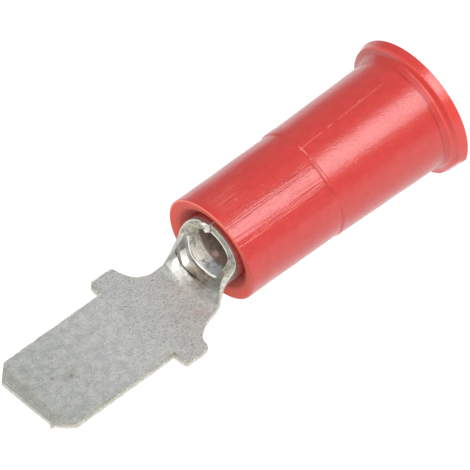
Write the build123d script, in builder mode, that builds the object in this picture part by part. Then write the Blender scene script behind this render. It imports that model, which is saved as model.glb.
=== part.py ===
from build123d import *

import os
from math import asin, atan2, cos, degrees, hypot, radians, sin

# An insulated male tab terminal for a thin wire: a tab and a wire barrel stamped and rolled
# from one strip of tinned metal, and a moulded sleeve pushed over the barrel.
# Lengths are in millimetres and angles in degrees. The drawing frame has X along the barrel
# from the tab's tip to the wire end, and Z up from the tab's top face.

# Flat part of the strip
sheet = 0.5
tab_width = 4.75
tab_length = 6.4
tip_corner_length = 0.75
tip_corner_width = 0.7
tip_bevel_length = 0.45
tip_bevel_depth = 0.13
shoulder_width = 6.3
shoulder_length = 1.3
shoulder_rounding = 0.15
neck_width = 3.4

# Throat, where the strip curls up into the wire barrel, and the barrel itself
throat_length = 1.3
curl_angle = 105
front_lean = 0.35
barrel_bore = 2.3
barrel_length = 5.8
floor_rise = 0.2
seam_gap = 0.05
seam_opening = 0.24
wire_entry_chamfer = 0.15

# Outside of the moulded sleeve
sleeve_lead = 0.05
front_length = 5.35
front_diameter = 5.34
front_draft = 0.02
step_height = 0.06
rear_length = 6.2
rear_draft = 0.12
flange_height = 0.16
flange_length = 0.65
flare_length = 0.24
flare_height = 0.35
rim_draft = 0.14
face_dish = 0.15
face_rounding = 0.12
rim_rounding = 0.06

# Inside of the moulded sleeve
mouth_clearance = 0.45
mouth_depth = 0.7
grip_clearance = 0.02
stop_thickness = 0.4
funnel_length = 1.5
insulation_bore = 4.1
bell_length = 0.9
bell_flare = 0.45

# Places and radii that follow from the sizes above
neck_arc = (shoulder_width - neck_width) / 2
shoulder_end = tab_length + shoulder_length
neck_start = shoulder_end + neck_arc
throat_end = neck_start + throat_length
mouth_x = throat_end + front_lean
barrel_end = mouth_x + barrel_length
bore_radius = barrel_bore / 2
barrel_radius = bore_radius + sheet
axis_height = floor_rise + bore_radius
barrel_top = axis_height + barrel_radius
wall_top = axis_height + barrel_radius * cos(radians(180 - curl_angle))

front_x = mouth_x - sleeve_lead
step_x = front_x + front_length
flange_x = step_x + rear_length
sleeve_end = flange_x + flange_length
front_radius = front_diameter / 2
step_front_radius = front_radius + front_draft
step_rear_radius = step_front_radius + step_height
rear_radius = step_rear_radius + rear_draft
flange_radius = rear_radius + flange_height
flare_x = flange_x + flare_length
flare_radius = flange_radius + flare_height
rim_radius = flare_radius + rim_draft
grip_radius = barrel_radius + grip_clearance
entry_radius = insulation_bore / 2
stop_x = barrel_end + grip_clearance
funnel_x = stop_x + stop_thickness
entry_x = funnel_x + funnel_length
bell_x = sleeve_end - bell_length

barrel_axis = Axis((0, 0, axis_height), (1, 0, 0))


def strip_section(half_width, half_angle, thickness):
    """Outline of the curled strip: two arcs about one centre, closed by the sheared edges."""
    outer = half_width / sin(radians(min(half_angle, 90)))
    radius = outer - thickness
    centre = radius

    def rim_point(reach, angle):
        return (reach * sin(radians(angle)), centre - reach * cos(radians(angle)))

    ThreePointArc(rim_point(radius, -half_angle), (0, 0), rim_point(radius, half_angle))
    Line(rim_point(radius, half_angle), rim_point(outer, half_angle))
    ThreePointArc(rim_point(outer, half_angle), (0, -thickness), rim_point(outer, -half_angle))
    Line(rim_point(outer, -half_angle), rim_point(radius, -half_angle))


# The terminal starts as a flat blank: the tab with its cut corners, the two shoulders that
# stop it in the mating receptacle, and the neck between two round notches.
with BuildPart() as terminal:
    with BuildSketch(Plane.XY) as blank:
        with BuildLine():
            Polyline(
                (0, 0),
                (0, tab_width / 2 - tip_corner_width),
                (tip_corner_length, tab_width / 2),
                (tab_length, tab_width / 2),
                (tab_length, shoulder_width / 2),
                (shoulder_end, shoulder_width / 2),
            )
            CenterArc((neck_start, shoulder_width / 2), neck_arc, 180, 90)
            Line((neck_start, neck_width / 2), (neck_start, 0))
            mirror(about=Plane.XZ)
        make_face()
        shoulder_corners = blank.vertices().group_by(Axis.Y)
        fillet(shoulder_corners[0] + shoulder_corners[-1], shoulder_rounding)
    extrude(amount=-sheet)

    # Both faces of the tab are bevelled towards the tip, to lead it into the receptacle.
    with BuildSketch(Plane.XZ):
        Polygon((0, 0), (tip_bevel_length, 0), (0, -tip_bevel_depth), align=None)
        Polygon((0, -sheet), (tip_bevel_length, -sheet), (0, tip_bevel_depth - sheet), align=None)
    extrude(amount=tab_width / 2, both=True, mode=Mode.SUBTRACT)

    # The throat: the flat neck curls up step by step, its edges rising into side walls. Its upper
    # face is pressed, so the sheet gets thinner there while the lower face rises to the barrel's.
    with BuildSketch(Plane.YZ.offset(neck_start)):
        with Locations((0, -sheet / 2)):
            Rectangle(neck_width, sheet)
    for share in (0.25, 0.5, 0.75, 1):
        half_width = neck_width / 2 * (1 - share) + barrel_radius * share
        with BuildSketch(Plane.YZ.offset(neck_start + throat_length * share)):
            with BuildLine():
                strip_section(half_width, curl_angle * share, sheet - floor_rise * share)
            make_face()
    loft()

    # The wire barrel, rolled until its edges meet in a seam along the top. It has the sheet's
    # full thickness, so its inner edge stands up as a crest across the throat.
    crest_plane = Plane(origin=(throat_end, 0, axis_height), x_dir=(0, 1, 0), z_dir=(1, 0, 0))
    with BuildSketch(crest_plane):
        Circle(barrel_radius)
        Circle(bore_radius, mode=Mode.SUBTRACT)
        Polygon(
            (-seam_gap / 2, 0),
            (seam_gap / 2, 0),
            (seam_gap / 2, bore_radius + sheet / 2),
            (seam_opening / 2, barrel_radius + seam_gap),
            (-seam_opening / 2, barrel_radius + seam_gap),
            (-seam_gap / 2, bore_radius + sheet / 2),
            align=None,
            mode=Mode.SUBTRACT,
        )
    extrude(amount=front_lean + barrel_length)
    wire_end = terminal.faces().sort_by(Axis.X)[-1]
    chamfer(wire_end.edges().filter_by(GeomType.CIRCLE).group_by(SortBy.RADIUS)[0], wire_entry_chamfer)

    # The strip's edges climb from the throat walls to the seam, so the barrel's front leans back.
    with BuildSketch(Plane.XZ):
        Polygon(
            (throat_end, wall_top),
            (mouth_x, barrel_top),
            (mouth_x, barrel_top + sheet),
            (throat_end, barrel_top + sheet),
            align=None,
        )
    extrude(amount=barrel_radius, both=True, mode=Mode.SUBTRACT)

# The sleeve is one turned profile: dished face, front part, step, rear part and flared flange
# outside; mouth, grip on the barrel, stop, wire funnel, insulation bore and bell inside.
with BuildPart() as insulating_sleeve:
    with BuildSketch(Plane.XZ):
        with BuildLine():
            FilletPolyline(
                (front_x + face_dish, axis_height + barrel_radius + mouth_clearance),
                (front_x, axis_height + front_radius),
                (step_x, axis_height + step_front_radius),
                (step_x, axis_height + step_rear_radius),
                (flange_x, axis_height + rear_radius),
                (flange_x, axis_height + flange_radius),
                (flare_x, axis_height + flare_radius),
                (sleeve_end, axis_height + rim_radius),
                (sleeve_end, axis_height + entry_radius + bell_flare),
                (bell_x, axis_height + entry_radius),
                (entry_x, axis_height + entry_radius),
                (funnel_x, axis_height + bore_radius),
                (stop_x, axis_height + bore_radius),
                (stop_x, axis_height + grip_radius),
                (front_x + mouth_depth, axis_height + grip_radius),
                radius=(
                    face_rounding / 2,
                    face_rounding,
                    0,
                    step_height / 3,
                    flange_height / 3,
                    flange_height / 3,
                    flare_length / 2,
                    rim_rounding,
                    face_rounding,
                    bell_length / 2,
                    face_rounding,
                    face_rounding,
                    0,
                    0,
                    0,
                ),
                close=True,
            )
        make_face()
    revolve(axis=barrel_axis)

# Laid down, the part rests on the tab's lower edge behind the bevel and on the flange's rim,
# so it tips nose down by the angle of the line that touches both from below.
rim_angle = atan2(rim_draft, flange_length - flare_length)
rim_centre_x = sleeve_end - rim_rounding
rim_centre_z = axis_height - rim_radius + rim_rounding * (1 + sin(rim_angle)) / cos(rim_angle)
reach = hypot(rim_centre_x - tip_bevel_length, rim_centre_z + sheet)
fall = atan2(-sheet - rim_centre_z, rim_centre_x - tip_bevel_length)
rest_angle = degrees(fall + asin(rim_rounding / reach))
for piece in (terminal, insulating_sleeve):
    piece.part.locate(Location((0, 0, 0), (0, -rest_angle, 0)))

# The origin goes under the middle of the whole part, on the surface that it lies on.
extent = Compound([terminal.part, insulating_sleeve.part]).bounding_box()
middle = extent.center()
contact_z = tip_bevel_length * sin(radians(rest_angle)) - sheet * cos(radians(rest_angle))
for piece in (terminal, insulating_sleeve):
    piece.part.locate(Location((-middle.X, -middle.Y, -contact_z)) * piece.part.location)

terminal.part.label = "terminal"
insulating_sleeve.part.label = "insulating_sleeve"

os.makedirs("parts", exist_ok=True)
export_step(terminal.part, "parts/terminal.step")
export_step(insulating_sleeve.part, "parts/insulating_sleeve.step")

print("rest angle", round(rest_angle, 3), "length", round(extent.size.X, 3), "rim radius", round(rim_radius, 3))
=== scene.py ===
# %% [markdown]
# # An insulated male tab terminal
# A terminal is two things: a strip of tinned metal, stamped flat and curled into a barrel at one
# end, and a glossy red sleeve pushed over the barrel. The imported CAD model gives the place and
# the size of both. This script dresses them: it makes each one again as a fine surface with its
# burrs, rolled edges and moulding marks, gives it a finish, and lights it as in a small studio.
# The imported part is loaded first, because the new surfaces have to stay inside its box.

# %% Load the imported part
from types import SimpleNamespace

import bmesh
import bpy
import numpy as np
from mathutils import Matrix, Vector


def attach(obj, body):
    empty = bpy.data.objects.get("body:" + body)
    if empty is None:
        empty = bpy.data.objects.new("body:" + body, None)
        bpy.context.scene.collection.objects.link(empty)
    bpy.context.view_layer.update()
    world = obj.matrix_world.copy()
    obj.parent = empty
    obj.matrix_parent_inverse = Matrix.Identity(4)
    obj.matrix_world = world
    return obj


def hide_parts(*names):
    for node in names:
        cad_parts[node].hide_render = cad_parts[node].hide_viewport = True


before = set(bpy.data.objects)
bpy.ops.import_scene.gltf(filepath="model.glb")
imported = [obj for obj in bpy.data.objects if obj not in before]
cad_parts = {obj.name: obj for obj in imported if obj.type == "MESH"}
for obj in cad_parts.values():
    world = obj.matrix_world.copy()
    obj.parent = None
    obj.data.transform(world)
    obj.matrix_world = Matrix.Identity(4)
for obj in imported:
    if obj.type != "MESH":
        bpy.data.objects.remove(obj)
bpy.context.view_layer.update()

# %% [markdown]
# ## Sizes of the strip
# Shapes are worked out in millimetres in a drawing frame: X runs along the part from the tab's
# tip, Y points to its left, and Z is up from the tab's top face, with the barrel's axis level.
# The drawing's own frame was chosen because each size of the flat blank is then a plain number.

# %% Sizes of the strip, in millimetres
MM = 0.001

SHEET = 0.5
TAB_WIDTH = 4.75
TAB_LENGTH = 6.4
TIP_CORNER_LENGTH = 0.75
TIP_CORNER_WIDTH = 0.7
BEVEL_LENGTH = 0.45
BEVEL_DEPTH = 0.13
SHOULDER_WIDTH = 6.3
SHOULDER_LENGTH = 1.3
SHOULDER_ROUNDING = 0.15
NECK_WIDTH = 3.4

THROAT_LENGTH = 1.3
FRONT_LEAN = 0.35
BORE_RADIUS = 1.15
BARREL_LENGTH = 5.8
FLOOR_RISE = 0.2
SEAM_GAP = 0.006

SHOULDER_END = TAB_LENGTH + SHOULDER_LENGTH
NECK_ARC = (SHOULDER_WIDTH - NECK_WIDTH) / 2
NECK_START = SHOULDER_END + NECK_ARC
MOUTH_X = NECK_START + THROAT_LENGTH + FRONT_LEAN
BARREL_END = MOUTH_X + BARREL_LENGTH
BARREL_RADIUS = BORE_RADIUS + SHEET
AXIS_HEIGHT = FLOOR_RISE + BORE_RADIUS
print(f"Barrel from {MOUTH_X:.2f} to {BARREL_END:.2f}, its axis {AXIS_HEIGHT:.2f} above the tab")

# %% [markdown]
# ## From the drawing to the part's place
# The loose part lies on the table nose down, so the drawing is turned by the rest angle and then
# moved to the part's origin, which is under its middle. An object could be turned instead, but
# here the mesh itself gets its place, so that a pattern stays where it is if the mesh is exported.

# %% Lay the drawing down
REST_ANGLE = np.radians(4.195889)
ORIGIN = np.array([-11.525397, 0.0, 0.465735])
OUT_OF_SQUARE = 0.033


def laid_down(points):
    """Drawing points as metres in the part's frame: x cos - z sin, y and x sin + z cos of the
    rest angle, plus the origin. The real part is some two degrees out of square, so x first
    loses a small share of y."""
    x, y, z = np.moveaxis(points, -1, 0)
    x = x - OUT_OF_SQUARE * y
    cosine, sine = np.cos(REST_ANGLE), np.sin(REST_ANGLE)
    turned = np.stack([x * cosine - z * sine, y, x * sine + z * cosine], axis=-1)
    return (turned + ORIGIN) * MM


print("The tab's tip lies at", np.round(laid_down(np.zeros(3)) / MM, 2))

# %% [markdown]
# ## Soft shapes
# Nothing on a stamped or moulded part is a perfect line. Three small functions of whole arrays
# give all of its unevenness: a soft step, a soft bump, and a ripple that looks random but comes
# out the same in each run, because it draws from a seed.


# %% Step, bump and ripple
def smooth(value, low, high):
    """0 at low, 1 at high and the soft step 3t^2 - 2t^3 between them; low may be the greater."""
    t = np.clip((value - low) / (high - low), 0, 1)
    return t * t * (3 - 2 * t)


def bump_at(value, middle, width):
    """exp(-((value - middle) / width)^2): 1 in the middle and near 0 from two widths away."""
    return np.exp(-(((value - middle) / width) ** 2))


def ripple(x, y, seed, waves=7):
    """Unevenness, mostly within -1 and 1: the sum of sine waves sin(k . (x, y) + phase) that run
    in random directions, 3 to 8 units long, over the root of their number."""
    draw = np.random.default_rng(seed)
    direction = draw.uniform(0, 2 * np.pi, waves)
    pace = 2 * np.pi / draw.uniform(3, 8, waves)
    phase = draw.uniform(0, 2 * np.pi, waves)
    along_x = np.multiply.outer(x, pace * np.cos(direction))
    along_y = np.multiply.outer(y, pace * np.sin(direction))
    return np.sin(along_x + along_y + phase).sum(axis=-1) / np.sqrt(waves)


print("A ripple at four places:", np.round(ripple(np.arange(4.0), np.zeros(4), 1), 2))

# %% [markdown]
# ## From a grid of points to a mesh
# Both pieces are closed loops carried along a path, so each is a grid of points whose rows are
# loops, and every loop joins the next one with four-sided faces. A loop that closes an end is
# flattened onto a line, and merging the points that coincide seals it. Extruding by hand could
# give the same faces, but in a grid each point can also carry marks for a finish to read.

# %% A mesh from a grid
SEAL_DISTANCE = 2e-8
SHARP_ANGLE = np.radians(35)


def closed_grid(name, grid, closed_rows=False, **marks):
    """A piece from a grid of drawing points and the marks of each point. Face (i, j) joins
    points (i, j), (i, j+1), (i+1, j+1) and (i+1, j), and loops close on themselves. The volume
    is a third of the sum, over all faces, of area vector times centre. If it is negative, the
    faces point inwards and are turned round."""
    rows, around = grid.shape[:2]
    number = np.arange(rows * around).reshape(rows, around)
    here = number if closed_rows else number[:-1]
    ahead = np.roll(number, -1, axis=0)[: len(here)]
    corners = [here, np.roll(here, -1, axis=1), np.roll(ahead, -1, axis=1), ahead]
    faces = np.stack(corners, axis=-1).reshape(-1, 4)
    points = laid_down(grid).reshape(-1, 3)

    a, b, c, d = (points[faces[:, k]] for k in range(4))
    area, centre = np.cross(c - a, d - b) / 2, (a + b + c + d) / 4
    volume = (area * centre).sum() / 3
    if volume < 0:
        faces = faces[:, ::-1]

    mesh = bpy.data.meshes.new(name)
    mesh.vertices.add(len(points))
    mesh.vertices.foreach_set("co", points.ravel())
    mesh.loops.add(faces.size)
    mesh.loops.foreach_set("vertex_index", faces.ravel())
    mesh.polygons.add(len(faces))
    mesh.polygons.foreach_set("loop_start", np.arange(0, faces.size, 4))
    for key, values in marks.items():
        mesh.attributes.new(key, "FLOAT", "POINT").data.foreach_set("value", np.ravel(values))
    mesh.update(calc_edges=True)

    sealed = bmesh.new()
    sealed.from_mesh(mesh)
    bmesh.ops.remove_doubles(sealed, verts=sealed.verts, dist=SEAL_DISTANCE)
    sealed.to_mesh(mesh)
    open_edges = sum(not edge.is_manifold for edge in sealed.edges)
    sealed.free()

    mesh.polygons.foreach_set("use_smooth", np.ones(len(mesh.polygons), bool))
    mesh.set_sharp_from_angle(angle=SHARP_ANGLE)
    piece = bpy.data.objects.new(name, mesh)
    bpy.context.collection.objects.link(piece)
    triangles = sum(len(face.vertices) - 2 for face in mesh.polygons)
    print(f"{name}: {triangles} triangles, {open_edges} open edges, {abs(volume) * 1e9:.1f} mm3")
    return piece


# %% [markdown]
# ## What changes along the strip
# The whole terminal is one strip of sheet metal, cut by a punch and then curled. Along it only a
# few things change: how far it reaches to each side, how far each side is curled, how high its
# floor lies and how much its faces are pressed. Tables say so at places along X, because a table
# can follow what a tool really left. The left wall starts its curl earlier than the right one,
# and both end in the barrel's front, where the curl runs on until the edges meet on top.

# %% Tables along the strip
# The curl of each wall in degrees. A wall's edge climbs with its curl.
LEFT_CURL = np.array([
    (9.1, 0), (9.2, 14), (9.34, 35), (9.6, 51), (9.85, 66), (10.05, 78), (10.36, 93),
    (10.53, 108), (10.66, 125), (10.75, 143), (10.8, 165), (10.83, 180),
])
RIGHT_CURL = np.array([
    (9.4, 0), (9.6, 6), (9.8, 22), (9.95, 46), (10.03, 64), (10.2, 75), (10.42, 84),
    (10.67, 92), (10.79, 103), (10.83, 120), (10.845, 150), (10.86, 180),
])
# The notches behind the shoulders, against two equal arcs: the left one is tighter.
LEFT_NOTCH = np.array([(7.75, 0), (8.0, -0.14), (8.3, -0.12), (8.7, -0.06), (9.15, 0)])
RIGHT_NOTCH = np.array([
    (7.75, 0), (8.0, 0.15), (8.3, 0.2), (8.6, 0.18), (9.0, 0.14), (9.2, 0.12), (9.6, 0.03),
    (9.8, 0),
])
CREST_X = 10.4


def along_table(x, table):
    """The table's value at x, on straight lines between its places."""
    return np.interp(x, table[:, 0], table[:, 1])


print("Curl at the crest:", along_table(CREST_X, LEFT_CURL), along_table(CREST_X, RIGHT_CURL))

# %% [markdown]
# ## Stations
# The strip's section is worked out at stations along X. They lie closest where the outline turns
# and where the throat curls, and far apart where nothing changes, so that the faces are spent
# where they show. The outline itself is that of the flat blank, which is a shape of straight
# runs and quarter circles.

# %% Stations and the outline of the blank
SHOULDER_LEDGE = 0.02


def spread(*stops):
    """Places from several runs, each given as its first place and its number of even steps; the
    last stop is the end."""
    starts = [stop[0] for stop in stops]
    runs = [
        np.linspace(first, last, steps, endpoint=False)
        for (first, steps), last in zip(stops[:-1], starts[1:])
    ]
    return np.concatenate(runs + [[starts[-1]]])


def blank_outline():
    """The flat blank from the tip to the neck, as x and half width. With r the rounding, a front
    corner of the shoulder is rounded to (r - r cos s, r sin s - r) from the sharp corner, and
    with R the neck's arc, the notch is (-R cos s, -R sin s) from its centre."""
    half_tab, half_shoulder, rounding = TAB_WIDTH / 2, SHOULDER_WIDTH / 2, SHOULDER_ROUNDING
    ledge_x = TAB_LENGTH - SHOULDER_LEDGE
    tip = spread((0, 22), (TIP_CORNER_LENGTH, 90), (ledge_x, 10), (TAB_LENGTH, 0))
    tip_half = np.interp(
        tip,
        [0, TIP_CORNER_LENGTH, ledge_x, TAB_LENGTH],
        [half_tab - TIP_CORNER_WIDTH, half_tab, half_tab, half_shoulder - rounding],
    )
    quarter = np.linspace(0, np.pi / 2, 9)
    rise, fall = rounding * (1 - np.sin(quarter)), rounding * (1 - np.cos(quarter))
    straight = np.linspace(TAB_LENGTH + rounding, SHOULDER_END - rounding, 22)[1:]
    notch = np.linspace(np.arcsin(rounding / NECK_ARC), np.pi / 2, 40)
    notch_x = NECK_START - NECK_ARC * np.cos(notch)
    corner_x = (notch_x[0] - SHOULDER_END + rounding) * np.sin(quarter)
    runs = [
        (tip, tip_half),
        (TAB_LENGTH + fall[1:], half_shoulder - rise[1:]),
        (straight, np.full(len(straight), half_shoulder)),
        (SHOULDER_END - rounding + corner_x[1:-1], half_shoulder - fall[1:-1]),
        (notch_x, half_shoulder - NECK_ARC * np.sin(notch)),
    ]
    return np.concatenate(runs, axis=1)


blank_x, blank_half = blank_outline()
rolled_x = spread(
    (NECK_START, 90), (CREST_X - 0.1, 24), (CREST_X + 0.08, 100), (MOUTH_X + 0.065, 26),
    (BARREL_END, 0),
)[1:]
rolled_half = np.interp(rolled_x, [NECK_START, CREST_X], [NECK_WIDTH / 2, BARREL_RADIUS])
strip_x = np.concatenate([blank_x, rolled_x])
strip_half = np.concatenate([blank_half, rolled_half])
strip_floor = FLOOR_RISE * smooth(strip_x, NECK_START + 0.1, CREST_X - 0.05)
tip_thin = BEVEL_DEPTH * np.clip(1 - strip_x / BEVEL_LENGTH, 0, 1)
print(len(strip_x), "stations along the strip")

# %% [markdown]
# ## The pressed throat
# Where the neck starts to curl, a punch presses the upper face down while the lower face rises.
# Its front left a step, soft on the right, and its end stands up as a sharp crest across the
# barrel's mouth. A model of the punch could be cut out of the strip, but a depth that is a
# formula of the place gives the soft run-out too, and needs no extra faces.

# %% How deep the upper face lies
PRESS_START = 9.89
PRESS_DEPTH = 0.2
FIRST_SHARE = 0.35
CREST_HEIGHT = 0.03
CREST_SETBACK = 0.02


def from_crest(x, across):
    """Distance behind the crest, a line that wanders a little and bends back up the left wall."""
    return x - CREST_X - 0.03 * ripple(across * 2.5, x * 0, 21) - 0.06 * smooth(across, 1.2, 2.4)


def pressed(x, across):
    """How far the upper face is pressed in. The depth is split in two shares, each times a soft
    step: the first where the curl starts, the rest at the punch's front. Both end at the crest,
    where a soft bump is taken away, so that its ridge stands up."""
    behind = from_crest(x, across)
    soft = 0.2 * smooth(across, 0.7, -0.3)
    front_x = x - 0.05 * ripple(across * 2.2, x * 0, 22)
    punch = smooth(front_x, PRESS_START - 0.06 - soft, PRESS_START + 0.08 + 0.3 * soft)
    before = smooth(x, NECK_START + 0.1, PRESS_START - 0.1)
    sink = PRESS_DEPTH * (FIRST_SHARE * before + (1 - FIRST_SHARE) * punch)
    ridge = CREST_HEIGHT * bump_at(behind, CREST_SETBACK, 0.03)
    return sink * (1 - smooth(behind, -0.045, 0.0)) - ridge


on_the_middle = pressed(np.array([CREST_X - 0.2, CREST_X + CREST_SETBACK]), np.zeros(2))
print("Pressed in before the crest and on it:", np.round(on_the_middle, 3))

# %% [markdown]
# ## The section and its bend
# A station's section is a flat rectangle first: `across` is measured along the middle of the
# sheet and `depth` down from its upper face. A punch shears the sheet, so the lower corners are
# rolled over, the upper ones carry a small burr, and the face between them is torn. Then the
# section is bent: each side turns about its own axis, and a point at `across` turns by across
# over the middle radius. A curve modifier could bend the strip too, but it wouldn't let the two
# sides differ.

# %% One side of the strip, and the bend
EDGE_POINTS = 17
STRAIGHT_SHARE = 0.6
ROLL_WIDTH = 0.13
ROLL_HEIGHT = 0.15
BURR_HEIGHT = 0.02
TEAR_DEPTH = 0.02
LEAST_CURL = 1e-4

full_turn = np.pi * (2 * BORE_RADIUS + SHEET)
closing = 1 - SEAM_GAP / full_turn


def side(half, curl, sign):
    """One side of the strip; sign is 1 on the left and -1 on the right. The middle of its sheet
    has the radius half / sin curl - sheet / 2, at most a quarter turn, and the edge lies radius
    times curl away. Down the edge, a straight run ends in a quarter of an ellipse."""
    curl = np.maximum(np.radians(curl) * closing, LEAST_CURL)
    radius = half / np.sin(np.minimum(curl, np.pi / 2)) - SHEET / 2
    reach = radius * curl
    way = np.linspace(0, 1, EDGE_POINTS)[:-1]
    roll_turn = np.clip((way - STRAIGHT_SHARE) / (1 - STRAIGHT_SHARE), 0, 1) * np.pi / 2

    roll = (1 - 2 * tip_thin / SHEET) * (1 - 0.8 * smooth(strip_x, CREST_X - 0.2, CREST_X + 0.2))
    roll_height, roll_width = (ROLL_HEIGHT * roll)[:, None], (ROLL_WIDTH * roll)[:, None]
    top = (tip_thin + pressed(strip_x, sign * reach))[:, None]
    straight = SHEET - tip_thin[:, None] - roll_height - top
    depth = top + straight * np.clip(way / STRAIGHT_SHARE, 0, 1) + roll_height * np.sin(roll_turn)
    inset = roll_width * (1 - np.cos(roll_turn))
    tear = TEAR_DEPTH * ripple(strip_x[:, None] * 9 + 4 * sign, depth * 22, 5 + sign)
    burr = BURR_HEIGHT * np.clip(0.5 + ripple(strip_x * 7, strip_x * 0, 8 + sign), 0, 2)
    depth[:, 0] -= burr * (strip_x > TIP_CORNER_LENGTH)
    return SimpleNamespace(
        radius=radius,
        reach=reach,
        low_reach=reach - ROLL_WIDTH * roll,
        across=reach[:, None] - inset + tear * np.sin(np.pi * way) ** 0.5,
        depth=depth,
        sheared=1 - inset / ROLL_WIDTH,
    )


def bend(x, across, depth, radius, floor):
    """A strip point in space. With R the radius of the middle of the sheet and t = across / R,
    y = (R + depth - sheet/2) sin t and z = floor + 2 (R - sheet/2) sin(t/2)^2 - depth cos t."""
    turn = across / radius
    y = (radius + depth - SHEET / 2) * np.sin(turn)
    z = floor + 2 * (radius - SHEET / 2) * np.sin(turn / 2) ** 2 - depth * np.cos(turn)
    return np.stack([x, y, z], axis=-1)


left = side(strip_half + along_table(strip_x, LEFT_NOTCH), along_table(strip_x, LEFT_CURL), 1)
right = side(strip_half + along_table(strip_x, RIGHT_NOTCH), along_table(strip_x, RIGHT_CURL), -1)
print(f"Middle radius of the barrel: {left.radius[-1]:.3f} left and {right.radius[-1]:.3f} right")

# %% [markdown]
# ## The whole strip
# Each loop of the grid runs across the upper face, down the left edge, back across the lower
# face and up the right edge. The two burrs come last. One stands at the seam and one at the tip,
# where the punch left a hair of metal. Every point also keeps its marks: how much it belongs to
# a sheared edge, where it is on the sheet, and how near it is to the crest. The finish reads
# them, because they follow the metal round its bends as no pattern in space could.

# %% The strip's surface
INNER_COLUMNS = 50
OUTER_COLUMNS = 22
STEADY_REACH = 1.42
UPPER_INSET = 0.01
SEAM_BURR = 0.12
SEAM_BURR_TURN = 168
TIP_BURR = 0.12
TIP_BURR_PLACE = -1.6


def columns(reach_left, reach_right):
    """Places across one face, for all stations, from the right edge to the left one: evenly
    spaced and steady in the middle, and stretched from there to the reach on each side."""
    outer = np.linspace(0, 1, OUTER_COLUMNS + 1)[1:]
    inner = np.linspace(-STEADY_REACH, STEADY_REACH, INNER_COLUMNS)
    right_part = -STEADY_REACH - outer[::-1] * (reach_right[:, None] - STEADY_REACH)
    left_part = STEADY_REACH + outer * (reach_left[:, None] - STEADY_REACH)
    middle = np.broadcast_to(inner, (len(left_part), INNER_COLUMNS))
    return np.concatenate([right_part, middle, left_part], axis=1)


def strip_grid():
    """The closed surface of the strip as drawing points, and the marks of each point. At each
    end one more loop lies on the middle of the sheet, where its upper and lower points meet."""
    top = columns(left.reach - UPPER_INSET, right.reach - UPPER_INSET)
    low = columns(left.low_reach, right.low_reach)
    top_depth = tip_thin[:, None] + pressed(strip_x[:, None], top)
    low_depth = np.broadcast_to((SHEET - tip_thin)[:, None], low.shape)
    across = np.concatenate([top, left.across, low[:, ::-1], -right.across[:, ::-1]], axis=1)
    depth = np.concatenate([top_depth, left.depth, low_depth, right.depth[:, ::-1]], axis=1)
    sheared = np.concatenate([top * 0, left.sheared, low * 0, right.sheared[:, ::-1]], axis=1)

    ends, count = [0, -1], left.across.shape[1]
    left_end = np.repeat(left.low_reach[ends][:, None], count, axis=1)
    right_end = np.repeat(-right.low_reach[ends][:, None], count, axis=1)
    shut = np.concatenate([low[ends], left_end, low[ends][:, ::-1], right_end], axis=1)
    halfway, cut = np.full_like(shut[:1], SHEET / 2), np.ones_like(shut[:1])
    across = np.concatenate([shut[:1], across, shut[1:]])
    depth = np.concatenate([halfway, depth, halfway])
    sheared = np.concatenate([cut, sheared, cut])
    again = np.r_[0, np.arange(len(strip_x)), len(strip_x) - 1]
    station, floor = strip_x[again][:, None], strip_floor[again][:, None]
    radius = np.where(across > 0, left.radius[again][:, None], right.radius[again][:, None])

    turn = np.degrees(across / radius)
    at_seam = bump_at(turn, SEAM_BURR_TURN, 7) * bump_at(station, MOUTH_X + 0.02, 0.05)
    seam_burr = SEAM_BURR * sheared * at_seam * (1 + 0.5 * ripple(depth * 25, turn * 0.6, 31))
    x = station - seam_burr
    at_corner = bump_at(across, TIP_BURR_PLACE, 0.07) * bump_at(x, 0, 0.07)
    x = x - TIP_BURR * at_corner * smooth(depth, 0.1, 0.3)
    on_crest = bump_at(from_crest(station, across), CREST_SETBACK, 0.035) * (depth < 0.1)
    crest = on_crest * (1 - sheared)
    marks = {"sheared": sheared, "across": across, "depth": depth, "crest": crest}
    return bend(x, across, depth, radius, floor), marks


grid, marks = strip_grid()
terminal = closed_grid("tinned_strip", grid, **marks)
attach(terminal, "root")
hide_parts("terminal")

# %% [markdown]
# ## Sizes of the sleeve
# The sleeve is a soft moulding that grips the barrel and widens behind it, so that the wire's
# own insulation can slide in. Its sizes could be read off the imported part, but written out, each
# can be compared with the photograph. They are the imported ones, apart from three finer forms
# that show there: a shallower mouth, the groove before the flange and the small wall behind it.

# %% Sizes of the sleeve, in millimetres
SLEEVE_LEAD = 0.05
FRONT_LENGTH = 5.35
REAR_LENGTH = 6.2
FLANGE_LENGTH = 0.65
FLARE_LENGTH = 0.24
FACE_DISH = 0.15
MOUTH_DEPTH = 0.5
STOP_THICKNESS = 0.4
FUNNEL_LENGTH = 1.5
BELL_LENGTH = 0.9

FRONT_RADIUS = 2.67
FRONT_DRAFT = 0.02
STEP_HEIGHT = 0.06
REAR_DRAFT = 0.12
FLANGE_HEIGHT = 0.16
WALL_HEIGHT = 0.03
FLARE_HEIGHT = 0.35
RIM_DRAFT = 0.14
MOUTH_CLEARANCE = 0.45
GRIP_CLEARANCE = 0.02
ENTRY_RADIUS = 2.05
BELL_FLARE = 0.45

FRONT_X = MOUTH_X - SLEEVE_LEAD
STEP_X = FRONT_X + FRONT_LENGTH
FLANGE_X = STEP_X + REAR_LENGTH
GROOVE_X = FLANGE_X - 0.2
WALL_X = FLANGE_X + 0.1
FLARE_X = FLANGE_X + FLARE_LENGTH
SLEEVE_END = FLANGE_X + FLANGE_LENGTH
STOP_X = BARREL_END + GRIP_CLEARANCE
FUNNEL_X = STOP_X + STOP_THICKNESS
ENTRY_X = FUNNEL_X + FUNNEL_LENGTH
BELL_X = SLEEVE_END - BELL_LENGTH

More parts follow.
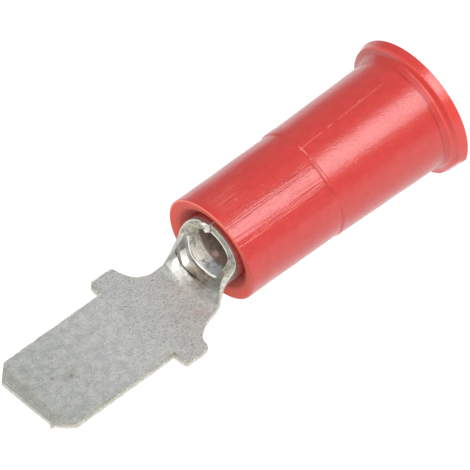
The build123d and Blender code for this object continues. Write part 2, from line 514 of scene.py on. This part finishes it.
STEP_FRONT_RADIUS = FRONT_RADIUS + FRONT_DRAFT
STEP_REAR_RADIUS = STEP_FRONT_RADIUS + STEP_HEIGHT
REAR_RADIUS = STEP_REAR_RADIUS + REAR_DRAFT
FLANGE_RADIUS = REAR_RADIUS + FLANGE_HEIGHT
WALL_RADIUS = FLANGE_RADIUS + WALL_HEIGHT
FLARE_RADIUS = FLANGE_RADIUS + FLARE_HEIGHT
RIM_RADIUS = FLARE_RADIUS + RIM_DRAFT
MOUTH_RADIUS = BARREL_RADIUS + MOUTH_CLEARANCE
GRIP_RADIUS = BARREL_RADIUS + GRIP_CLEARANCE
BELL_RADIUS = ENTRY_RADIUS + BELL_FLARE
print(f"Sleeve from {FRONT_X:.2f} to {SLEEVE_END:.2f}, with a rim of {2 * RIM_RADIUS:.2f}")

# %% [markdown]
# ## The sleeve's outline
# The sleeve is round, so it is turned from one closed outline in the plane of x and radius:
# face, front half, step, rear half, groove, flange and flared rim outside, and bell, bore,
# funnel, stop and grip inside. A bevel could round its corners afterwards, but small arcs in the
# outline round each one by its own amount, as the mould does. The points lie closer together
# outside, where the marks of the mould show.

# %% The sleeve's outline
SHARP = 0.001

# Corner places (x, radius), their rounding, and the number of steps to the next one.
CORNERS = np.array([
    (FRONT_X + FACE_DISH, MOUTH_RADIUS, 0.06, 12),
    (FRONT_X, FRONT_RADIUS, 0.07, 50),
    (STEP_X - 0.06, STEP_FRONT_RADIUS, 0.1, 6),
    (STEP_X + 0.06, STEP_REAR_RADIUS, 0.1, 56),
    (GROOVE_X, REAR_RADIUS, 0.1, 4),
    (GROOVE_X + 0.1, REAR_RADIUS + 0.06, 0.05, 6),
    (WALL_X, WALL_RADIUS, 0.03, 6),
    (FLARE_X - 0.04, FLARE_RADIUS - 0.01, 0.09, 8),
    (SLEEVE_END, RIM_RADIUS, 0.06, 14),
    (SLEEVE_END, BELL_RADIUS, 0.12, 8),
    (BELL_X, ENTRY_RADIUS, 0.45, 10),
    (ENTRY_X, ENTRY_RADIUS, 0.12, 6),
    (FUNNEL_X, BORE_RADIUS, 0.12, 3),
    (STOP_X, BORE_RADIUS, SHARP, 4),
    (STOP_X, GRIP_RADIUS, SHARP, 12),
    (FRONT_X + MOUTH_DEPTH, GRIP_RADIUS, SHARP, 8),
])


def rounded_outline(corners, arc_points=7):
    """A closed outline with round corners. At a corner with unit directions a (in) and b (out)
    and half turn h, the arc starts r tan h before the corner, and its point at angle s is the
    start + r sin(s) a + r (1 - cos s) n, with n square to a on the inner side."""
    place, rounding, steps = corners[:, :2], corners[:, 2:3], corners[:, 3].astype(int)
    way_in = place - np.roll(place, 1, axis=0)
    way_in /= np.linalg.norm(way_in, axis=1, keepdims=True)
    way_out = np.roll(way_in, -1, axis=0)
    cross = way_in[:, 0] * way_out[:, 1] - way_in[:, 1] * way_out[:, 0]
    turn = np.arctan2(cross, (way_in * way_out).sum(axis=1))[:, None]
    inner = np.stack([-way_in[:, 1], way_in[:, 0]], axis=1) * np.sign(turn)
    start = place - way_in * rounding * np.tan(np.abs(turn) / 2)
    angle = (np.abs(turn) * np.linspace(0, 1, arc_points))[..., None]
    way = np.sin(angle) * way_in[:, None] + (1 - np.cos(angle)) * inner[:, None]
    arcs = start[:, None] + rounding[:, None] * way

    points = [
        np.concatenate([arc, np.linspace(arc[-1], after[0], count + 1)[1:-1]])
        for arc, after, count in zip(arcs, np.roll(arcs, -1, axis=0), steps)
    ]
    return np.concatenate(points)


outline = rounded_outline(CORNERS)
print(len(outline), "points on the sleeve's outline")

# %% [markdown]
# ## The sleeve's surface
# Turning the outline gives x, radius and angle for each point, where the angle starts at +Y and
# rises towards +Z. The real sleeve isn't quite true: its face stands a little out of square, the
# step at mid-length is deeper on one side, the outside is wavy, and the rim has a flat spot. A
# Spin could turn the outline, but only a grid lets all of that be added as plain sums. The inside
# stays true, because it has to clear the barrel.

# %% Turn the outline
TURNS = 320
FACE_LEAN = 0.05
FACE_LEAN_ANGLE = np.radians(70)
LONG_WAVE = 0.006
SHORT_WAVE = 0.004
STEP_WAVE = 0.02
FLAT_ANGLE = np.radians(214)
FLAT_DEPTH = 0.17
FLAT_SOFTNESS = 0.015


def sleeve_grid():
    """(x, radius cos angle, axis height + radius sin angle). The flat spot is a chord of the
    rim: it takes away what lies past (R - depth) / cos(angle - flat angle), rounded off by the
    soft maximum s log(1 + exp(v / s))."""
    angle = np.linspace(0, 2 * np.pi, TURNS, endpoint=False)
    x, radius = (np.broadcast_to(outline[:, k, None], (len(outline), TURNS)) for k in range(2))
    outside = smooth(radius, MOUTH_RADIUS, MOUTH_RADIUS + 0.3) * (x < SLEEVE_END - 0.1)
    near_face = 1 - smooth(x, FRONT_X + 0.3, FRONT_X + 1.6)
    from_grip = np.maximum(radius - GRIP_RADIUS, 0)
    lean = FACE_LEAN * from_grip * np.cos(angle - FACE_LEAN_ANGLE) * near_face
    wave = LONG_WAVE * ripple(x * 1.3, 3 * np.cos(angle), 11)
    wave = wave + SHORT_WAVE * ripple(x * 4, 8 * np.sin(angle), 12)
    wave = wave + STEP_WAVE * ripple(x * 0, 2.2 * angle, 13) * bump_at(x, STEP_X + 0.35, 0.3)
    chord = (RIM_RADIUS - FLAT_DEPTH) / np.maximum(np.cos(angle - FLAT_ANGLE), 0.5)
    flat = FLAT_SOFTNESS * np.log1p(np.exp((RIM_RADIUS - chord) / FLAT_SOFTNESS))
    radius = radius + wave * outside - flat * smooth(radius, FLANGE_RADIUS, RIM_RADIUS)
    return np.stack([x - lean, radius * np.cos(angle), AXIS_HEIGHT + radius * np.sin(angle)], -1)


sleeve = closed_grid("red_sleeve", sleeve_grid(), closed_rows=True)
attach(sleeve, "root")
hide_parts("insulating_sleeve")

# %% [markdown]
# ## Shader maths
# A finish is a tree of nodes, and a tree drawn by hand soon gets too big to follow. Two small
# classes let it be written as sums instead. `Signal` wraps a node's output, and `Finish` has one
# method that adds any node, from which all its other methods are made.


# %% A signal
class Signal:
    """A number or vector that varies over a surface. A sum with it adds a Math node."""

    def __init__(self, finish, socket):
        self.finish = finish
        self.socket = socket

    def __add__(self, other):
        return self.finish.math("ADD", self, other)

    def __sub__(self, other):
        return self.finish.math("SUBTRACT", self, other)

    def __rsub__(self, other):
        return self.finish.math("SUBTRACT", other, self)

    def __mul__(self, other):
        return self.finish.math("MULTIPLY", self, other)

    def __pow__(self, other):
        return self.finish.math("POWER", self, other)

    def __abs__(self):
        return self.finish.math("ABSOLUTE", self)

    __radd__ = __add__
    __rmul__ = __mul__

    def step(self, low, high):
        """0 at low and 1 at high, with a smooth ramp between; low may be the greater."""
        return self.finish.node(
            "ShaderNodeMapRange",
            {"interpolation_type": "SMOOTHSTEP"},
            {"Value": self, "From Min": low, "From Max": high},
        )

    def window(self, rise, full, still_full, fall):
        """0 up to rise, 1 from full to still_full, and 0 again past fall."""
        return self.step(rise, full) * self.step(fall, still_full)

    def near(self, middle, far, close):
        """1 within close of the middle, and 0 past far from it."""
        return abs(self - middle).step(far, close)

    def line(self, middle, half_width):
        """1 on a thin line along the middle, falling to 0 at half_width from it."""
        return self.near(middle, half_width, 0.3 * half_width)


print("Sums that a signal knows: + - * ** abs, step, window, near and line")

# %% [markdown]
# ## A finish
# Every finish here is Blender's Principled shader with patterns that feed its colour, roughness,
# metal share and relief. The patterns read the drawing's own millimetres, so a noise of scale 9
# has grains of about a ninth of a millimetre, and a mark can be put where it was measured.


# %% A finish and its nodes
class Finish:
    """A material whose main shader is `shader`."""

    def __init__(self, name):
        self.material = bpy.data.materials.new(name)
        self.material.use_nodes = True
        self.tree = self.material.node_tree
        self.shader = self.tree.nodes["Principled BSDF"]

    def join(self, socket, value):
        """Links a signal to a socket, or sets its value. Colours are written without alpha."""
        if isinstance(value, Signal):
            self.tree.links.new(value.socket, socket)
        elif socket.type == "RGBA":
            socket.default_value = (*value, 1)
        else:
            socket.default_value = value

    def node(self, kind, settings=None, inputs=None, output=0):
        """Adds a node: first its settings, then the values or links of its sockets."""
        node = self.tree.nodes.new(kind)
        for key, value in (settings or {}).items():
            setattr(node, key, value)
        for key, value in (inputs or {}).items():
            self.join(node.inputs[key], value)
        return Signal(self, node.outputs[output])

    def math(self, operation, *values):
        """One operation on numbers or signals, in the order that its sockets have."""
        return self.node("ShaderNodeMath", {"operation": operation}, dict(enumerate(values)))

    def attribute(self, name):
        """A mark that the mesh carries at its points."""
        return self.node("ShaderNodeAttribute", {"attribute_name": name}, output="Fac")

    def drawing_place(self, height):
        """Object coordinates turned back into drawing millimetres, with Z measured from height.
        The turn is undone first, and then the origin, turned back too, is taken away."""
        cosine, sine = np.cos(REST_ANGLE), np.sin(REST_ANGLE)
        x, y, z = ORIGIN
        place = {
            "Vector": self.node("ShaderNodeTexCoord", output="Object"),
            "Location": (-(x * cosine + z * sine), -y, -(z * cosine - x * sine) - height),
            "Rotation": (0, REST_ANGLE, 0),
            "Scale": (1 / MM, 1 / MM, 1 / MM),
        }
        return self.node("ShaderNodeMapping", inputs=place)

    def parts(self, vector):
        """The three numbers of a vector."""
        split = self.node("ShaderNodeSeparateXYZ", inputs={"Vector": vector})
        return [Signal(self, output) for output in split.socket.node.outputs]

    def stretched(self, vector, scale):
        """Each part of a vector times its own scale; less than 1 draws a pattern out."""
        return self.node("ShaderNodeVectorMath", {"operation": "MULTIPLY"}, {0: vector, 1: scale})

    def noise(self, vector, scale, detail, roughness):
        """A random pattern about 0.5, with `scale` grains to a millimetre; more detail adds
        finer grains, each kind weaker than the one before by the roughness."""
        inputs = {"Vector": vector, "Scale": scale, "Detail": detail, "Roughness": roughness}
        return self.node("ShaderNodeTexNoise", inputs=inputs)

    def blend(self, share, first, second):
        """Colour first where share is 0, second where it is 1."""
        inputs = {0: share, 6: first, 7: second}
        return self.node("ShaderNodeMix", {"data_type": "RGBA"}, inputs, output=2)

    def layers(self, base, *coats):
        """Paints coats over a base, each a share and its colour, and the last one on top."""
        for share, colour in coats:
            base = self.blend(share, base, colour)
        return base

    def bump(self, height, distance):
        """A normal from a height in units of `distance` metres."""
        inputs = {"Strength": 1.0, "Distance": distance, "Height": height}
        return self.node("ShaderNodeBump", inputs=inputs)

    def paint(self, piece, **inputs):
        """Sets or links sockets of the main shader, named with _ for a space, and puts the
        finish on a piece."""
        for key, value in inputs.items():
            self.join(self.shader.inputs[key.replace("_", " ")], value)
        piece.data.materials.clear()
        piece.data.materials.append(self.material)
        print(f"{self.material.name}: {len(self.tree.nodes)} nodes")


# %% [markdown]
# ## Tinned metal
# Tin on brass is a soft grey that hides the brass, except where a tool rubbed it. It is never
# even: it has pale clouds, patches of half a millimetre, dark veins and specks, and a fine
# grain. Each of them is a noise of its own size, so that each can be strong in one place and
# weak in another.

# %% Patterns on the tin
tin = Finish("tinned_metal")
on_strip = tin.drawing_place(0)
along = tin.parts(on_strip)[0]
across = tin.attribute("across")
depth = tin.attribute("depth")
edge = tin.attribute("sheared").step(0.3, 0.9)

clouds = tin.noise(on_strip, 0.55, 3, 0.6)
tint = tin.noise(on_strip, 0.8, 2, 0.5)
veins = tin.noise(on_strip, 1.7, 4, 0.7).near(0.5, 0.012, 0.003)
patches = tin.noise(on_strip, 2.4, 4, 0.65)
mottle = tin.noise(on_strip, 4.2, 5, 0.75)
specks = tin.noise(on_strip, 7, 2, 0.5).step(0.66, 0.74)
grain = tin.noise(on_strip, 9, 3, 0.6)
scratches = tin.noise(tin.stretched(on_strip, (0.4, 5, 5)), 2.2, 3, 0.6)
tool_marks = tin.noise(tin.stretched(on_strip, (9, 0.7, 1)), 1.6, 2, 0.6)


def spot(x, y, size_x, size_y, full=0):
    """A spot on the strip at x along it and y across. With q the sum of the squares of the
    distances over the sizes, it is 1 up to q = full and falls to 0 at q = 1."""
    away = ((along - x) * (1 / size_x)) ** 2 + ((across - y) * (1 / size_y)) ** 2
    return away.step(1, full)


print(len(tin.tree.nodes), "nodes make the patterns on the tin")

# %% [markdown]
# ## The dull tab
# The tab and the shoulders keep the sheet's own plating, which is dull, and dirtier towards the
# shoulders, where it was handled. Its colour is built as a painter would, with a mottled ground
# and thin coats over it, because a coat can be changed without the others.

# %% Coats on the dull tab
handled = along.step(5, 7)
bevel = along.step(0.6, 0.4)
dull = tin.layers(
    tin.blend(patches.step(0.3, 0.7), (0.55, 0.56, 0.515), (0.64, 0.645, 0.60)),
    # Pale haze and clouds.
    (along.window(0.5, 6, 9.2, 10) * 0.32, (0.97, 0.965, 0.94)),
    (tint.step(0.5, 0.65) * 0.5, (0.66, 0.665, 0.68)),
    (clouds.step(0.35, 0.65) * 0.2, (0.73, 0.73, 0.70)),
    # Grain, veins, blotches and specks.
    (grain.step(0.48, 0.68) * (0.4 + 0.35 * handled), (0.42, 0.42, 0.40)),
    (veins * (0.25 + 0.45 * handled * clouds.step(0.42, 0.6)), (0.32, 0.32, 0.28)),
    (patches.step(0.52, 0.68) * along.step(5.5, 7) * 0.3, (0.42, 0.42, 0.38)),
    (specks * (0.35 + 0.5 * along.step(5, 8)), (0.2, 0.19, 0.16)),
    # A dark dot in a smudge, a smaller dot, and a pink tint beside the right notch.
    (spot(2.34, -0.25, 0.16, 0.14) * 0.6, (0.22, 0.22, 0.18)),
    (spot(2.3, -0.2, 0.55, 0.4) * 0.35, (0.40, 0.41, 0.35)),
    (spot(1.62, 0.2, 0.12, 0.12) * 0.45, (0.25, 0.25, 0.2)),
    (spot(8.75, -1.5, 0.5, 0.3) * 0.2, (0.70, 0.50, 0.42)),
    # The bevel, with the marks of its tool and a bright rim at the tip.
    (bevel * 0.4, (0.40, 0.40, 0.32)),
    (tool_marks.step(0.5, 0.62) * bevel * 0.5, (0.40, 0.38, 0.32)),
    (tool_marks.step(0.45, 0.3) * along.step(0.3, 0.1) * 0.6, (0.82, 0.79, 0.66)),
)
print(len(tin.tree.nodes), "nodes with the dull tab")

# %% [markdown]
# ## The polished throat
# The curled neck is polished by the tool that rolled it. Before the crest its floor has a brown
# patch with cream flecks, painted shade with a brownish reflection on the ramp, and on its right
# a darker grey-green painted shade. A dark spot there and a dark line along the punch's front
# step are painted shade too. Two patches of the left wall get painted highlights: white bands
# that lie askew on the strip, broken up by the mottle, so that they end raggedly.

# %% Coats on the throat
under_punch = along.step(9.84, 9.98)
# Painted shade with a brownish reflection on the ramp before the crest.
ramp_shade = under_punch * across.window(-0.75, -0.35, 0.6, 0.95)
# Two bands that lie askew on the left wall, where the painted highlights go.
first_wall_highlight = (along - 0.62 * across).near(8.78, 0.25, 0.14) * across.window(0.92, 1.08, 1.5, 1.72)
second_wall_highlight = (along - 0.2 * across).near(9.85, 0.23, 0.13) * across.window(0.8, 1, 1.56, 1.76)
wall_highlights = ((first_wall_highlight + second_wall_highlight) * 0.8 + mottle * 0.6).step(0.78, 1)
left_shade = along.step(8.9, 9.25) * across.window(0.35, 0.9, 1.8, 2.1) * (1 - wall_highlights)
polished = tin.layers(
    tin.blend(mottle.step(0.35, 0.68), (0.42, 0.41, 0.37), (0.66, 0.65, 0.61)),
    # The painted shade on the ramp, with cream flecks in it.
    (ramp_shade * (0.35 + 0.5 * patches.step(0.36, 0.56)), (0.25, 0.18, 0.13)),
    (ramp_shade * mottle.step(0.54, 0.72) * 0.5, (0.85, 0.78, 0.66)),
    # Painted shade: a darker grey-green on the ramp's right side.
    (under_punch * across.step(-0.35, -0.75) * 0.6, (0.30, 0.33, 0.29)),
    # Painted shade: a dark spot on the floor before the crest.
    (spot(9.95, 0.5, 0.24, 0.45, 0.3) * 0.85, (0.13, 0.11, 0.09)),
    # Painted shade along the step at the punch's front.
    (along.near(PRESS_START, 0.1, 0.04) * across.step(0.4, 0.8) * 0.85, (0.20, 0.19, 0.15)),
    # Painted highlights on the left wall.
    (wall_highlights, (0.97, 0.96, 0.93)),
)
print(len(tin.tree.nodes), "nodes with the throat")

# %% [markdown]
# ## Inside the bore
# Little light gets into the bore, and what does has touched the red sleeve and the brass first.
# Rendering all of those bounces would take long and still be too clean, so the shade and the
# tints are painted: pale where the light falls in, brown on the other side, with dark streaks.

# %% Coats in the bore
near_mouth = (along + 0.12 * (patches - 0.5)).step(11.16, 11.02)
lit_side = across.step(-1.5, -0.6) * near_mouth
bore = tin.layers(
    tin.blend(across.step(0.1, 0.9), (0.50, 0.52, 0.53), (0.92, 0.88, 0.79)),
    (tool_marks.step(0.42, 0.6) * across.step(0.5, 0.9) * 0.6, (0.62, 0.56, 0.46)),
    (1 - lit_side, (0.35, 0.25, 0.20)),
    (patches.step(0.5, 0.62) * 0.6, (0.15, 0.13, 0.11)),
    (mottle.step(0.45, 0.35) * 0.45, (0.30, 0.27, 0.22)),
    (spot(10.68, 0.45, 0.16, 0.3, 0.1) * mottle.step(0.6, 0.4) * 0.8, (0.20, 0.20, 0.18)),
    (spot(11.36, 0.5, 0.22, 0.3) * mottle.step(0.3, 0.55) * 0.75, (0.85, 0.60, 0.55)),
)
print(len(tin.tree.nodes), "nodes with the bore")

# %% [markdown]
# ## Sheared edges
# A sheared edge was never plated. It shows the yellowish metal, darker near its burr and
# sprinkled with bright crumbs. At the barrel's mouth it is a ring that faces the light, with a
# colour of its own. The edges could be faces with another material, but painting them by the
# mark that each point carries gives a soft passage from plating to torn metal.

# %% Coats on the edges
ring = along.step(10.3, 10.45)
torn_ring = tin.layers(
    tin.blend(mottle.step(0.36, 0.66), (0.25, 0.225, 0.17), (0.54, 0.51, 0.43)),
    (grain.step(0.56, 0.7) * 0.6, (0.90, 0.87, 0.78)),
    (depth.step(0.4, 0.47) * 0.7, (0.80, 0.79, 0.73)),
)
torn = tin.layers(
    tin.blend(depth.step(0.05, 0.42), (0.30, 0.29, 0.235), (0.57, 0.555, 0.50)),
    (along.step(0.04, 0.01) * 0.7, (0.40, 0.39, 0.34)),
    (grain.step(0.48, 0.66) * 0.45, (0.92, 0.90, 0.82)),
    (ring * 0.9, torn_ring),
)
print(len(tin.tree.nodes), "nodes with the edges")

# %% [markdown]
# ## The tin put together
# The coats are laid where they belong, and last come painted highlights: thin white lines on the
# burrs along the crest and on the ring's right side, and on a lump beside the seam. What lies
# inside the sleeve's mouth mirrors the red around it, so it is painted red too.

# %% The whole tinned finish
inside = along.step(10.41, 10.46) * depth.step(0.2, 0.05) * (1 - edge)
in_sleeve = along.step(10.9, 10.98) * depth.step(0.42, 0.47) * (1 - edge)
burr = depth.step(0.07, 0.03) * edge
burr_shadow_breaks = tin.noise(on_strip, 2.8, 2, 0.5).step(0.45, 0.6)
crest = (tin.attribute("crest") + 0.36 * across.step(0.95, 0.5)).step(0.45, 0.75)
crest_and_ring = tin.math(
    "MAXIMUM", crest * across.step(-1.05, -0.75), burr * ring * across.step(-2.6, -3.1)
)
lump = across.step(3.95, 4.1) * along.step(MOUTH_X + 0.03, MOUTH_X) * edge
# Painted highlights: white on the crest, on the ring's burr and on the lump by the seam.
white = tin.math("MAXIMUM", crest_and_ring, lump * mottle.step(0.35, 0.6) * 0.6)
metal_colour = tin.layers(
    tin.blend(along.step(9.35, 9.6), dull, polished),
    (left_shade * 0.55, (0.30, 0.30, 0.27)),
    (inside, bore),
    (edge * 0.9, torn),
    # Painted shade: a broken dark line at the top of the sheared edge, by the burr.
    (burr * (1 - ring) * burr_shadow_breaks * 0.5, (0.25, 0.22, 0.15)),
    (in_sleeve, (0.44, 0.055, 0.045)),
    (in_sleeve * grain.step(0.58, 0.7) * 0.6, (0.9, 0.62, 0.56)),
    (white, (0.93, 0.92, 0.88)),
)
unevenness = 0.08 * patches.step(0.3, 0.7) + 0.06 * along.step(8.8, 9.2)
metal_relief = (
    patches * 0.4 + grain * 0.45 - specks * 0.5 + scratches * 0.3 - tool_marks * bevel * 0.4
)
tin.paint(
    terminal,
    Base_Color=metal_colour,
    Metallic=1 - 0.6 * inside - 0.3 * edge - 0.9 * in_sleeve - 0.95 * white * (1 - inside * 0.4),
    Roughness=0.44 + unevenness + 0.12 * edge + 0.15 * inside,
    Normal=tin.bump(metal_relief, 0.018 * MM),
)

# %% [markdown]
# ## Red vinyl
# The sleeve is soft and glossy. Drawing it out of the mould left fine lines along it, strongest
# on the front half, so two of its noises are stretched along X. The others are a slow waviness,
# the peel that any moulded skin has, a fine grain, and specks, whose peaks are dust and whose
# hollows are pits. Marks are placed by `along` and by the angle `around` the axis in degrees,
# which starts at +Y, rises over the top and jumps only at 360, on the side turned away.

# %% Patterns on the vinyl
vinyl = Finish("red_vinyl")
on_sleeve = vinyl.drawing_place(AXIS_HEIGHT)
along, side_way, height = vinyl.parts(on_sleeve)
around = vinyl.math("ARCTAN2", height * -1, side_way * -1) * (180 / np.pi) + 180
radius = (side_way**2 + height**2) ** 0.5
front_half = along.step(STEP_X, STEP_X - 0.2)

drawn_out = vinyl.stretched(on_sleeve, (0.045, 1, 1))
fine_lines = vinyl.noise(drawn_out, 6.5, 3, 0.6)
coarse_lines = vinyl.noise(drawn_out, 2.2, 2, 0.5)
skin = vinyl.noise(on_sleeve, 2.2, 4, 0.55)
peel = vinyl.noise(on_sleeve, 6, 3, 0.6)
skin_grain = vinyl.noise(on_sleeve, 11, 2, 0.6)
breaks = vinyl.noise(on_sleeve, 1.4, 2, 0.5)
crumbs = vinyl.noise(on_sleeve, 5.5, 1, 0.4)
dust = crumbs.step(0.775, 0.82)
pits = crumbs.step(0.25, 0.21)
print(len(vinyl.tree.nodes), "nodes make the patterns on the vinyl")

# %% [markdown]
# ## Marks of the mould, and painted light and shade
# A mould leaves lines where its halves meet: the parting line along the rear half and drag marks
# on the front half. Round the step, a pale line is a painted highlight on its edge and a dark line
# a painted shadow. A pale, streaky haze lies on the top beside the face. At the flange the groove
# gets a painted shadow, and the wall and its edge get painted light. They could be modelled, but
# most are thinner than a pixel, so a painted line does the same for less.

# %% Lines, haze and the forms at both ends
parting = (around + along * 0.9).line(108.5, 0.7) * (1 - front_half)
parting = parting * breaks.step(0.38, 0.52) * along.step(21.6, 20.6)
# A painted highlight on the step's edge, broken here and there.
step_highlight = (along + 0.05 * skin).line(STEP_X + 0.03, 0.05)
step_highlight = step_highlight * breaks.step(0.42, 0.6) * around.window(86, 92, 150, 190)
# A painted shadow line along the step on the lit side.
step_shadow = along.line(STEP_X - 0.02, 0.045) * around.window(107, 112, 143, 150)
drag_marks = (
    (around - along * 0.6).line(101.5, 0.5)
    + (around - along * 0.35).line(109.5, 0.45)
    + around.line(116.5, 0.4)
) * front_half
# A pale, streaky haze on the top beside the face.
pale_haze = vinyl.noise(vinyl.stretched(on_sleeve, (0.3, 3, 3)), 2.5, 3, 0.6).step(0.3, 0.85)
pale_haze = pale_haze * around.window(72, 84, 96, 106) * along.window(10.8, 11.4, 11.8, 13.2)

face = along.step(FRONT_X + 0.75, FRONT_X + 0.6) * radius.step(2.6, 2.55)
# Painted shade, growing darker down the mouth.
mouth_shade = radius.step(2.4, 1.8) * face
# A painted highlight along the face's outer edge.
face_rim_highlight = radius.line(FRONT_RADIUS - 0.05, 0.045) * along.step(FRONT_X + 0.1, FRONT_X + 0.05)
# Painted shadow in the groove before the flange.
groove = along.line(GROOVE_X + 0.03, 0.06) * around.window(75, 100, 180, 215)
# Painted light on the flange's wall, and a painted highlight on its edge.
wall = along.window(WALL_X - 0.01, WALL_X + 0.04, WALL_X + 0.1, WALL_X + 0.2)
wall_edge_highlight = along.line(WALL_X, 0.022) * around.window(80, 100, 140, 170)
lit_rim = along.step(WALL_X + 0.05, FLARE_X) * around.window(88, 112, 200, 270)
print(len(vinyl.tree.nodes), "nodes with the marks")

# %% [markdown]
# ## The vinyl put together
# Vinyl takes its depth from light that enters it and comes out redder. A plain glossy red would
# look like paint, so the shader gets a little subsurface light. The face and the flange are thin,
# and are painted a lighter, more orange red than the body: painted light for their glow. The
# relief is only two hundredths of a millimetre, just enough to break up the highlight.

# %% The whole vinyl finish
red = vinyl.layers(
    vinyl.blend(skin.step(0.3, 0.7), (0.42, 0.028, 0.023), (0.455, 0.034, 0.028)),
    (pits * 0.5, (0.28, 0.02, 0.02)),
    # Pale coat: dust, the haze by the face, the parting line and the painted highlight at the
    # step.
    (dust * 0.22 + pale_haze * 0.2 + parting * 0.25 + step_highlight * 0.3, (0.85, 0.35, 0.32)),
    # Painted shadow at the step.
    (step_shadow * 0.55, (0.25, 0.012, 0.014)),
    # The face, with painted shade down its mouth.
    # Painted light: the face is lighter and more orange than the body.
    (face, (0.60, 0.06, 0.034)),
    (face * skin.step(0.5, 0.65) * 0.12, (0.42, 0.02, 0.015)),
    (mouth_shade * 0.75, (0.22, 0.015, 0.012)),
    # Painted light on the flange's rim and wall, painted edge highlights and a groove shadow.
    (lit_rim * 0.7, (0.53, 0.046, 0.034)),
    (wall * 0.8, (0.58, 0.05, 0.04)),
    (face_rim_highlight * 0.7 + wall_edge_highlight * 0.3, (0.95, 0.22, 0.13)),
    (groove * 0.6, (0.24, 0.012, 0.014)),
)
streaks = front_half * around.window(108, 113, 136, 150)
vinyl_relief = (
    skin * 0.35
    + peel * 0.12
    + skin_grain * (0.6 - 0.25 * front_half)
    + fine_lines * (0.1 + 0.35 * front_half + 0.9 * streaks)
    + coarse_lines * 0.8 * front_half
    - drag_marks * 0.9
)
vinyl.paint(
    sleeve,
    Base_Color=red,
    Roughness=0.12 + 0.02 * front_half + 0.05 * fine_lines + 0.13 * peel + 0.4 * face,
    Normal=vinyl.bump(vinyl_relief, 0.02 * MM),
    IOR=1.53,
    Specular_IOR_Level=0.56,
    Subsurface_Weight=0.12,
    Subsurface_Radius=(1.0, 0.2, 0.15),
    Subsurface_Scale=0.8 * MM,
)

# %% [markdown]
# ## The floor
# A catalogue picture has no visible table: the part stands out against plain white. White paper
# under strong lamps would do that, but the lamps would then wash out the part. So the paper is
# dark and glows by itself just enough to come out white.

# %% A sheet of paper
FLOOR_SIZE = 1.2
corners = np.array([(-1, -1, 0), (1, -1, 0), (1, 1, 0), (-1, 1, 0)]) * FLOOR_SIZE / 2
floor_mesh = bpy.data.meshes.new("floor")
floor_mesh.from_pydata(corners.tolist(), [], [(0, 1, 2, 3)])
floor = bpy.data.objects.new("floor", floor_mesh)
bpy.context.collection.objects.link(floor)
Finish("paper").paint(
    floor,
    Base_Color=(0.12, 0.12, 0.12),
    Roughness=0.9,
    Emission_Color=(1, 1, 1),
    Emission_Strength=1.02,
)

# %% [markdown]
# ## The lights
# Glossy things show each lamp as a highlight of its shape, so the lamps are placed for their
# mirror images. `sleeve_light` is long and lies along the near side: its image is the highlight
# that runs down the sleeve. `front_light` is large and weak and fills in the tab's end and the
# face. `mouth_light` is small and shines into the throat and the mouth. An even sky lifts the
# shadows.


# %% Lamps and sky
def soft_light(name, direction, distance, width, length, radiance):
    """A rectangular area light that faces the part from a direction, its length laid along the
    part. Its power is width times length times pi times radiance."""
    light = bpy.data.lights.new(name, "AREA")
    light.shape, light.size, light.size_y = "RECTANGLE", length, width
    light.energy = radiance * np.pi * width * length
    lamp = bpy.data.objects.new(name, light)
    bpy.context.collection.objects.link(lamp)
    back = Vector(direction).normalized()
    up = back.cross(Vector((1, 0, 0))).normalized()
    turn = Matrix((up.cross(back), up, back)).transposed().to_4x4()
    lamp.matrix_world = Matrix.Translation(back * distance) @ turn
    print(f"{name}: {light.energy:.2f} W")


soft_light("sleeve_light", (0.03, -0.455, 0.83), 0.5, 0.34, 0.5, 5.9)
soft_light("front_light", (-0.9, -0.1, 0.42), 0.6, 0.6, 0.6, 0.9)
soft_light("mouth_light", (-0.62, -0.45, 0.64), 0.5, 0.25, 0.25, 1.4)

sky = bpy.data.worlds.new("sky")
sky.use_nodes = True
sky_inputs = sky.node_tree.nodes["Background"].inputs
sky_inputs["Color"].default_value = (0.96, 0.98, 1, 1)
sky_inputs["Strength"].default_value = 0.5
bpy.context.scene.world = sky
bpy.context.scene.view_settings.view_transform = "Standard"

# %% [markdown]
# ## The camera
# The photograph was taken from the tab's side, well above it, from far away through a long lens,
# so the part's edges stay almost parallel. A camera could be turned by eye until the picture
# looks right, but here its place and its three directions were fitted to the edges seen in the
# photograph, because only then can shapes be compared pixel by pixel.

# %% Camera
IMAGE_SIDE = 470
FOCAL_PIXELS = 6000
SENSOR_WIDTH = 36
PLACE = Vector((-120.23, -132.667, 197.944)) * MM
TO_RIGHT = Vector((0.74752, -0.66414, 0.01115))
TO_BELOW = Vector((-0.48361, -0.55569, -0.67626))
AHEAD = Vector((0.45533, 0.50013, -0.73658))

camera_data = bpy.data.cameras.new("camera")
camera_data.sensor_width = SENSOR_WIDTH
camera_data.lens = FOCAL_PIXELS * SENSOR_WIDTH / IMAGE_SIDE
camera_data.clip_start, camera_data.clip_end = 0.01, 10
camera = bpy.data.objects.new("camera", camera_data)
bpy.context.collection.objects.link(camera)
camera_turn = Matrix((TO_RIGHT, -TO_BELOW, -AHEAD)).transposed().to_4x4()
camera.matrix_world = Matrix.Translation(PLACE) @ camera_turn
bpy.context.scene.camera = camera
print(f"Lens of {camera_data.lens:.0f} mm, {PLACE.length:.3f} m from the part")

# %% [markdown]
# ## Finish
# The dressed part has to fill the box of the imported one, or it wouldn't fit where the part is
# used. At the end the scene is brought up to date.

# %% Bring the scene up to date
bpy.context.view_layer.update()
